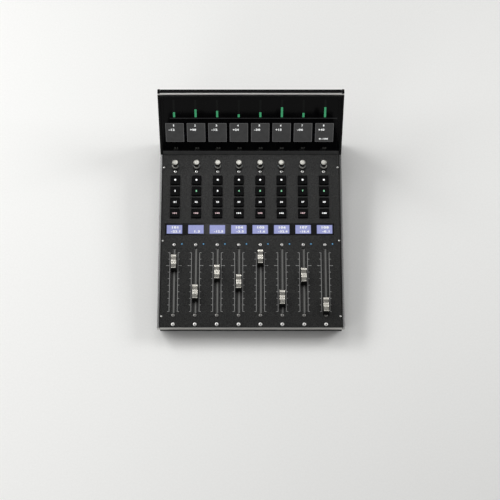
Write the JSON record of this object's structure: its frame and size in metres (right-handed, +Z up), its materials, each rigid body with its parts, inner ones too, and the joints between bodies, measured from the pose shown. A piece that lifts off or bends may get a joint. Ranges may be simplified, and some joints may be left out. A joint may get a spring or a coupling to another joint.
{
  "type": "mixing console",
  "caption": "Desktop mixing console: motor faders, square lit buttons, rotary encoders and channel displays on a sloping panel, below a raised hood of display tiles and level meters.",
  "frame": {"origin": "on the surface the console stands on, under the middle of its outline", "axes": "+X along the row of channels to the player's right, +Y from the player towards the hood, +Z up"},
  "size_m": [0.3, 0.352, 0.1837],
  "materials": {
    "panel_paint": "fine-textured charcoal powder coat",
    "casing_paint": "satin black powder coat",
    "display_glass": "polished, smoked",
    "strip_glass": "polished black with lit displays",
    "circuit_board": "green solder mask",
    "plated_steel": "zinc plated",
    "screw_steel": "bright",
    "foot_rubber": "matte",
    "fader_cap": "satin silver crown over a black body",
    "knob_aluminium": "turned, satin",
    "button_plastic": "satin black with a lit legend"
  },
  "bodies": {
    "console": {"top_panel": "panel_paint", "base_pan": "casing_paint", "side_cheeks": "casing_paint", "display_hood": "casing_paint", "display_glass": "display_glass", "display_board": "circuit_board", "scribble_displays": "strip_glass", "control_board": "circuit_board", "fader_units": "plated_steel", "main_board": "circuit_board", "screws": "screw_steel", "feet": "foot_rubber"},
    "fader_1": {"fader_1": "fader_cap"},
    "fader_2": {"fader_2": "fader_cap"},
    "fader_3": {"fader_3": "fader_cap"},
    "fader_4": {"fader_4": "fader_cap"},
    "fader_5": {"fader_5": "fader_cap"},
    "fader_6": {"fader_6": "fader_cap"},
    "fader_7": {"fader_7": "fader_cap"},
    "fader_8": {"fader_8": "fader_cap"},
    "encoder_knob_1": {"encoder_knob_1": "knob_aluminium"},
    "encoder_knob_2": {"encoder_knob_2": "knob_aluminium"},
    "encoder_knob_3": {"encoder_knob_3": "knob_aluminium"},
    "encoder_knob_4": {"encoder_knob_4": "knob_aluminium"},
    "encoder_knob_5": {"encoder_knob_5": "knob_aluminium"},
    "encoder_knob_6": {"encoder_knob_6": "knob_aluminium"},
    "encoder_knob_7": {"encoder_knob_7": "knob_aluminium"},
    "encoder_knob_8": {"encoder_knob_8": "knob_aluminium"},
    "button_1_1": {"button_1_1": "button_plastic"},
    "button_1_2": {"button_1_2": "button_plastic"},
    "button_1_3": {"button_1_3": "button_plastic"},
    "button_1_4": {"button_1_4": "button_plastic"},
    "button_1_5": {"button_1_5": "button_plastic"},
    "button_1_6": {"button_1_6": "button_plastic"},
    "button_1_7": {"button_1_7": "button_plastic"},
    "button_1_8": {"button_1_8": "button_plastic"},
    "button_2_1": {"button_2_1": "button_plastic"},
    "button_2_2": {"button_2_2": "button_plastic"},
    "button_2_3": {"button_2_3": "button_plastic"},
    "button_2_4": {"button_2_4": "button_plastic"},
    "button_2_5": {"button_2_5": "button_plastic"},
    "button_2_6": {"button_2_6": "button_plastic"},
    "button_2_7": {"button_2_7": "button_plastic"},
    "button_2_8": {"button_2_8": "button_plastic"},
    "button_3_1": {"button_3_1": "button_plastic"},
    "button_3_2": {"button_3_2": "button_plastic"},
    "button_3_3": {"button_3_3": "button_plastic"},
    "button_3_4": {"button_3_4": "button_plastic"},
    "button_3_5": {"button_3_5": "button_plastic"},
    "button_3_6": {"button_3_6": "button_plastic"},
    "button_3_7": {"button_3_7": "button_plastic"},
    "button_3_8": {"button_3_8": "button_plastic"},
    "button_4_1": {"button_4_1": "button_plastic"},
    "button_4_2": {"button_4_2": "button_plastic"},
    "button_4_3": {"button_4_3": "button_plastic"},
    "button_4_4": {"button_4_4": "button_plastic"},
    "button_4_5": {"button_4_5": "button_plastic"},
    "button_4_6": {"button_4_6": "button_plastic"},
    "button_4_7": {"button_4_7": "button_plastic"},
    "button_4_8": {"button_4_8": "button_plastic"}
  },
  "joints": [
    {"name": "fader_1_slide", "type": "slide", "parent": "console", "child": "fader_1", "axis": [0, 0.9962, 0.0872], "range_m": [-0.0774, 0.0226]},
    {"name": "fader_2_slide", "type": "slide", "parent": "console", "child": "fader_2", "axis": [0, 0.9962, 0.0872], "range_m": [-0.0266, 0.0734]},
    {"name": "fader_3_slide", "type": "slide", "parent": "console", "child": "fader_3", "axis": [0, 0.9962, 0.0872], "range_m": [-0.0599, 0.0401]},
    {"name": "fader_4_slide", "type": "slide", "parent": "console", "child": "fader_4", "axis": [0, 0.9962, 0.0872], "range_m": [-0.0436, 0.0564]},
    {"name": "fader_5_slide", "type": "slide", "parent": "console", "child": "fader_5", "axis": [0, 0.9962, 0.0872], "range_m": [-0.0859, 0.0141]},
    {"name": "fader_6_slide", "type": "slide", "parent": "console", "child": "fader_6", "axis": [0, 0.9962, 0.0872], "range_m": [-0.017, 0.083]},
    {"name": "fader_7_slide", "type": "slide", "parent": "console", "child": "fader_7", "axis": [0, 0.9962, 0.0872], "range_m": [-0.0546, 0.0454]},
    {"name": "fader_8_slide", "type": "slide", "parent": "console", "child": "fader_8", "axis": [0, 0.9962, 0.0872], "range_m": [-0.0048, 0.0952]},
    {"name": "encoder_knob_1_turn", "type": "hinge", "parent": "console", "child": "encoder_knob_1", "pos_m": [-0.1247, 0.10252, 0.05836], "axis": [0, -0.0872, 0.9962], "continuous": true},
    {"name": "encoder_knob_2_turn", "type": "hinge", "parent": "console", "child": "encoder_knob_2", "pos_m": [-0.0897, 0.10252, 0.05836], "axis": [0, -0.0872, 0.9962], "continuous": true},
    {"name": "encoder_knob_3_turn", "type": "hinge", "parent": "console", "child": "encoder_knob_3", "pos_m": [-0.0547, 0.10252, 0.05836], "axis": [0, -0.0872, 0.9962], "continuous": true},
    {"name": "encoder_knob_4_turn", "type": "hinge", "parent": "console", "child": "encoder_knob_4", "pos_m": [-0.0197, 0.10252, 0.05836], "axis": [0, -0.0872, 0.9962], "continuous": true},
    {"name": "encoder_knob_5_turn", "type": "hinge", "parent": "console", "child": "encoder_knob_5", "pos_m": [0.0153, 0.10252, 0.05836], "axis": [0, -0.0872, 0.9962], "continuous": true},
    {"name": "encoder_knob_6_turn", "type": "hinge", "parent": "console", "child": "encoder_knob_6", "pos_m": [0.0503, 0.10252, 0.05836], "axis": [0, -0.0872, 0.9962], "continuous": true},
    {"name": "encoder_knob_7_turn", "type": "hinge", "parent": "console", "child": "encoder_knob_7", "pos_m": [0.0853, 0.10252, 0.05836], "axis": [0, -0.0872, 0.9962], "continuous": true},
    {"name": "encoder_knob_8_turn", "type": "hinge", "parent": "console", "child": "encoder_knob_8", "pos_m": [0.1203, 0.10252, 0.05836], "axis": [0, -0.0872, 0.9962], "continuous": true},
    {"name": "button_1_1_press", "type": "slide", "parent": "console", "child": "button_1_1", "axis": [0, 0.0872, -0.9962], "range_m": [0, 0.001], "stiffness_N_per_m": 400, "springref_m": -0.001},
    {"name": "button_1_2_press", "type": "slide", "parent": "console", "child": "button_1_2", "axis": [0, 0.0872, -0.9962], "range_m": [0, 0.001], "stiffness_N_per_m": 400, "springref_m": -0.001},
    {"name": "button_1_3_press", "type": "slide", "parent": "console", "child": "button_1_3", "axis": [0, 0.0872, -0.9962], "range_m": [0, 0.001], "stiffness_N_per_m": 400, "springref_m": -0.001},
    {"name": "button_1_4_press", "type": "slide", "parent": "console", "child": "button_1_4", "axis": [0, 0.0872, -0.9962], "range_m": [0, 0.001], "stiffness_N_per_m": 400, "springref_m": -0.001},
    {"name": "button_1_5_press", "type": "slide", "parent": "console", "child": "button_1_5", "axis": [0, 0.0872, -0.9962], "range_m": [0, 0.001], "stiffness_N_per_m": 400, "springref_m": -0.001},
    {"name": "button_1_6_press", "type": "slide", "parent": "console", "child": "button_1_6", "axis": [0, 0.0872, -0.9962], "range_m": [0, 0.001], "stiffness_N_per_m": 400, "springref_m": -0.001},
    {"name": "button_1_7_press", "type": "slide", "parent": "console", "child": "button_1_7", "axis": [0, 0.0872, -0.9962], "range_m": [0, 0.001], "stiffness_N_per_m": 400, "springref_m": -0.001},
    {"name": "button_1_8_press", "type": "slide", "parent": "console", "child": "button_1_8", "axis": [0, 0.0872, -0.9962], "range_m": [0, 0.001], "stiffness_N_per_m": 400, "springref_m": -0.001},
    {"name": "button_2_1_press", "type": "slide", "parent": "console", "child": "button_2_1", "axis": [0, 0.0872, -0.9962], "range_m": [0, 0.001], "stiffness_N_per_m": 400, "springref_m": -0.001},
    {"name": "button_2_2_press", "type": "slide", "parent": "console", "child": "button_2_2", "axis": [0, 0.0872, -0.9962], "range_m": [0, 0.001], "stiffness_N_per_m": 400, "springref_m": -0.001},
    {"name": "button_2_3_press", "type": "slide", "parent": "console", "child": "button_2_3", "axis": [0, 0.0872, -0.9962], "range_m": [0, 0.001], "stiffness_N_per_m": 400, "springref_m": -0.001},
    {"name": "button_2_4_press", "type": "slide", "parent": "console", "child": "button_2_4", "axis": [0, 0.0872, -0.9962], "range_m": [0, 0.001], "stiffness_N_per_m": 400, "springref_m": -0.001},
    {"name": "button_2_5_press", "type": "slide", "parent": "console", "child": "button_2_5", "axis": [0, 0.0872, -0.9962], "range_m": [0, 0.001], "stiffness_N_per_m": 400, "springref_m": -0.001},
    {"name": "button_2_6_press", "type": "slide", "parent": "console", "child": "button_2_6", "axis": [0, 0.0872, -0.9962], "range_m": [0, 0.001], "stiffness_N_per_m": 400, "springref_m": -0.001},
    {"name": "button_2_7_press", "type": "slide", "parent": "console", "child": "button_2_7", "axis": [0, 0.0872, -0.9962], "range_m": [0, 0.001], "stiffness_N_per_m": 400, "springref_m": -0.001},
    {"name": "button_2_8_press", "type": "slide", "parent": "console", "child": "button_2_8", "axis": [0, 0.0872, -0.9962], "range_m": [0, 0.001], "stiffness_N_per_m": 400, "springref_m": -0.001},
    {"name": "button_3_1_press", "type": "slide", "parent": "console", "child": "button_3_1", "axis": [0, 0.0872, -0.9962], "range_m": [0, 0.001], "stiffness_N_per_m": 400, "springref_m": -0.001},
    {"name": "button_3_2_press", "type": "slide", "parent": "console", "child": "button_3_2", "axis": [0, 0.0872, -0.9962], "range_m": [0, 0.001], "stiffness_N_per_m": 400, "springref_m": -0.001},
    {"name": "button_3_3_press", "type": "slide", "parent": "console", "child": "button_3_3", "axis": [0, 0.0872, -0.9962], "range_m": [0, 0.001], "stiffness_N_per_m": 400, "springref_m": -0.001},
    {"name": "button_3_4_press", "type": "slide", "parent": "console", "child": "button_3_4", "axis": [0, 0.0872, -0.9962], "range_m": [0, 0.001], "stiffness_N_per_m": 400, "springref_m": -0.001},
    {"name": "button_3_5_press", "type": "slide", "parent": "console", "child": "button_3_5", "axis": [0, 0.0872, -0.9962], "range_m": [0, 0.001], "stiffness_N_per_m": 400, "springref_m": -0.001},
    {"name": "button_3_6_press", "type": "slide", "parent": "console", "child": "button_3_6", "axis": [0, 0.0872, -0.9962], "range_m": [0, 0.001], "stiffness_N_per_m": 400, "springref_m": -0.001},
    {"name": "button_3_7_press", "type": "slide", "parent": "console", "child": "button_3_7", "axis": [0, 0.0872, -0.9962], "range_m": [0, 0.001], "stiffness_N_per_m": 400, "springref_m": -0.001},
    {"name": "button_3_8_press", "type": "slide", "parent": "console", "child": "button_3_8", "axis": [0, 0.0872, -0.9962], "range_m": [0, 0.001], "stiffness_N_per_m": 400, "springref_m": -0.001},
    {"name": "button_4_1_press", "type": "slide", "parent": "console", "child": "button_4_1", "axis": [0, 0.0872, -0.9962], "range_m": [0, 0.001], "stiffness_N_per_m": 400, "springref_m": -0.001},
    {"name": "button_4_2_press", "type": "slide", "parent": "console", "child": "button_4_2", "axis": [0, 0.0872, -0.9962], "range_m": [0, 0.001], "stiffness_N_per_m": 400, "springref_m": -0.001},
    {"name": "button_4_3_press", "type": "slide", "parent": "console", "child": "button_4_3", "axis": [0, 0.0872, -0.9962], "range_m": [0, 0.001], "stiffness_N_per_m": 400, "springref_m": -0.001},
    {"name": "button_4_4_press", "type": "slide", "parent": "console", "child": "button_4_4", "axis": [0, 0.0872, -0.9962], "range_m": [0, 0.001], "stiffness_N_per_m": 400, "springref_m": -0.001},
    {"name": "button_4_5_press", "type": "slide", "parent": "console", "child": "button_4_5", "axis": [0, 0.0872, -0.9962], "range_m": [0, 0.001], "stiffness_N_per_m": 400, "springref_m": -0.001},
    {"name": "button_4_6_press", "type": "slide", "parent": "console", "child": "button_4_6", "axis": [0, 0.0872, -0.9962], "range_m": [0, 0.001], "stiffness_N_per_m": 400, "springref_m": -0.001},
    {"name": "button_4_7_press", "type": "slide", "parent": "console", "child": "button_4_7", "axis": [0, 0.0872, -0.9962], "range_m": [0, 0.001], "stiffness_N_per_m": 400, "springref_m": -0.001},
    {"name": "button_4_8_press", "type": "slide", "parent": "console", "child": "button_4_8", "axis": [0, 0.0872, -0.9962], "range_m": [0, 0.001], "stiffness_N_per_m": 400, "springref_m": -0.001}
  ]
}
